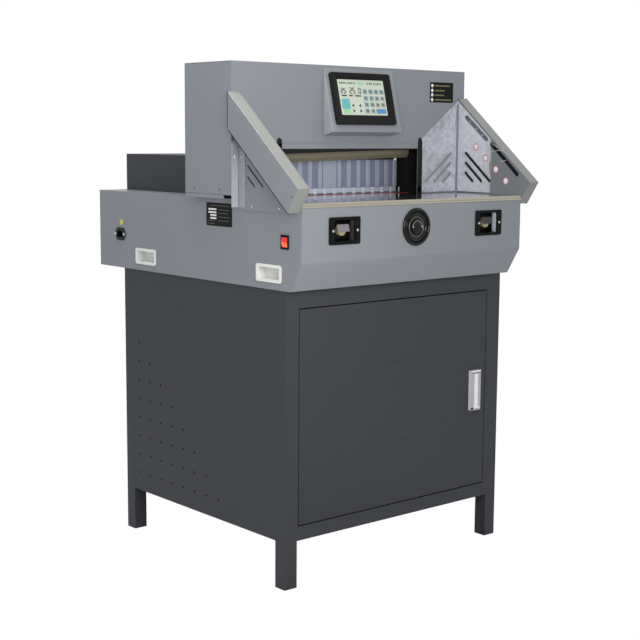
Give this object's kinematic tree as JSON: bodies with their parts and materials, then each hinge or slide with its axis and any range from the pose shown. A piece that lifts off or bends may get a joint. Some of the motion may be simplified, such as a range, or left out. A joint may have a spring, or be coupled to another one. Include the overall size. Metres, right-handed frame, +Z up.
{
  "type": "electric paper cutter",
  "caption": "Electric guillotine paper cutter on a steel cabinet stand, with light-curtain side guards, a tilted touch display, handwheel, two-hand cut buttons and a motor back gauge.",
  "frame": {"origin": "on the floor under the middle of the machine's overall box", "axes": "+Z up, +X to the operator's right, -Y towards the operator"},
  "size_m": [0.7972, 0.879, 1.223],
  "materials": {
    "grey_paint": "satin",
    "dark_paint": "satin",
    "motor_paint": "satin",
    "galvanised": "bright",
    "steel": "ground",
    "cast": "painted",
    "aluminium": "satin",
    "pale_trim": "satin",
    "bronze": "machined",
    "black_plastic": "gloss",
    "white_plastic": "satin",
    "red_plastic": "satin",
    "green_plastic": "gloss",
    "screen": "lit"
  },
  "bodies": {
    "machine": {"stand_frame": "dark_paint", "stand_side_left": "dark_paint", "stand_side_right": "dark_paint", "stand_back_panel": "dark_paint", "machine_base": "cast", "worktable": "steel", "table_trim": "pale_trim", "cutting_stick": "red_plastic", "body_front_panel": "grey_paint", "body_side_left": "grey_paint", "body_side_right": "grey_paint", "body_rear_cover": "grey_paint", "rear_guard": "dark_paint", "cutter_frame": "cast", "head_front_cover": "grey_paint", "head_side_left": "grey_paint", "head_side_right": "grey_paint", "head_top_cover": "grey_paint", "knife_guide": "steel", "guard_arm_left": "grey_paint", "guard_arm_right": "grey_paint", "side_guard_left": "grey_paint", "side_guard_right": "grey_paint", "corner_guard_left": "galvanised", "corner_guard_right": "galvanised", "outer_angle_left": "galvanised", "outer_angle_right": "galvanised", "light_curtain_left": "black_plastic", "light_curtain_right": "black_plastic", "display_pod": "grey_paint", "display_bezel": "black_plastic", "display_screen": "screen", "knife_gearmotor": "motor_paint", "clamp_gearmotor": "motor_paint", "gauge_motor": "motor_paint", "handwheel_dish": "black_plastic", "cut_station_left": "black_plastic", "cut_station_right": "black_plastic", "power_switch_frame": "black_plastic", "power_inlet": "black_plastic", "carry_handle_left_front": "white_plastic", "carry_handle_left_rear": "white_plastic", "carry_handle_right_front": "white_plastic", "carry_handle_right_rear": "white_plastic"},
    "knife_shoe": {"knife_shoe": "bronze"},
    "knife": {"knife_beam": "cast", "knife_blade": "steel"},
    "knife_crank": {"knife_crank": "steel"},
    "clamp": {"clamp_beam": "aluminium", "clamp_screw": "steel"},
    "clamp_nut": {"clamp_nut": "bronze"},
    "back_gauge": {"back_gauge_fence": "aluminium", "gauge_carriage": "cast"},
    "lead_screw": {"lead_screw": "steel"},
    "handwheel": {"handwheel": "black_plastic"},
    "cut_button_left": {"cut_button_left": "green_plastic"},
    "cut_button_right": {"cut_button_right": "green_plastic"},
    "power_rocker": {"power_rocker": "red_plastic"},
    "door": {"cabinet_door": "dark_paint", "door_handle": "white_plastic"}
  },
  "joints": [
    {"name": "knife_stroke", "type": "slide", "parent": "machine", "child": "knife_shoe", "axis": [0.354, 0, -0.9352], "range_m": [0, 0.08474]},
    {"name": "knife_tilt", "type": "hinge", "parent": "knife_shoe", "child": "knife", "pos_m": [-0.3585, -0.146, 1.085], "axis": [0, 1, 0], "range_deg": [0, 1.4]},
    {"name": "knife_crank_turn", "type": "hinge", "parent": "machine", "child": "knife_crank", "pos_m": [0.165, -0.138, 0.79947], "axis": [0, 1, 0], "range_deg": [0, 90]},
    {"name": "clamp_stroke", "type": "slide", "parent": "machine", "child": "clamp", "axis": [0, 0, -1], "range_m": [0, 0.0935]},
    {"name": "clamp_nut_turn", "type": "hinge", "parent": "machine", "child": "clamp_nut", "pos_m": [-0.037, -0.12245, 1.1053], "axis": [0, 0, 1], "range_deg": [0, 3367]},
    {"name": "back_gauge_travel", "type": "slide", "parent": "machine", "child": "back_gauge", "axis": [0, 1, 0], "range_m": [0, 0.43]},
    {"name": "lead_screw_turn", "type": "hinge", "parent": "machine", "child": "lead_screw", "pos_m": [0, 0.409, 0.85], "axis": [0, 1, 0], "range_deg": [0, 15482]},
    {"name": "handwheel_turn", "type": "hinge", "parent": "machine", "child": "handwheel", "pos_m": [-0.009, -0.41, 0.8395], "axis": [0, -1, 0], "continuous": true},
    {"name": "cut_button_left_press", "type": "slide", "parent": "machine", "child": "cut_button_left", "axis": [0, 1, 0], "range_m": [0, 0.004], "stiffness_N_per_m": 1200, "springref_m": -0.003},
    {"name": "cut_button_right_press", "type": "slide", "parent": "machine", "child": "cut_button_right", "axis": [0, 1, 0], "range_m": [0, 0.004], "stiffness_N_per_m": 1200, "springref_m": -0.003},
    {"name": "power_rocker_tilt", "type": "hinge", "parent": "machine", "child": "power_rocker", "pos_m": [-0.3643, -0.3525, 0.816], "axis": [0, 1, 0], "range_deg": [0, 14]},
    {"name": "cabinet_door_swing", "type": "hinge", "parent": "machine", "child": "door", "pos_m": [-0.3135, -0.345, 0.4], "axis": [0, 0, -1], "range_deg": [0, 105]}
  ],
  "couplings": [
    {"joint": "knife_tilt", "follows": "knife_stroke", "rad_per_m": 0.28905},
    {"joint": "knife_crank_turn", "follows": "knife_stroke", "rad_per_m": 18.537},
    {"joint": "clamp_nut_turn", "follows": "clamp_stroke", "rad_per_m": 628.32},
    {"joint": "lead_screw_turn", "follows": "back_gauge_travel", "rad_per_m": 628.32}
  ]
}
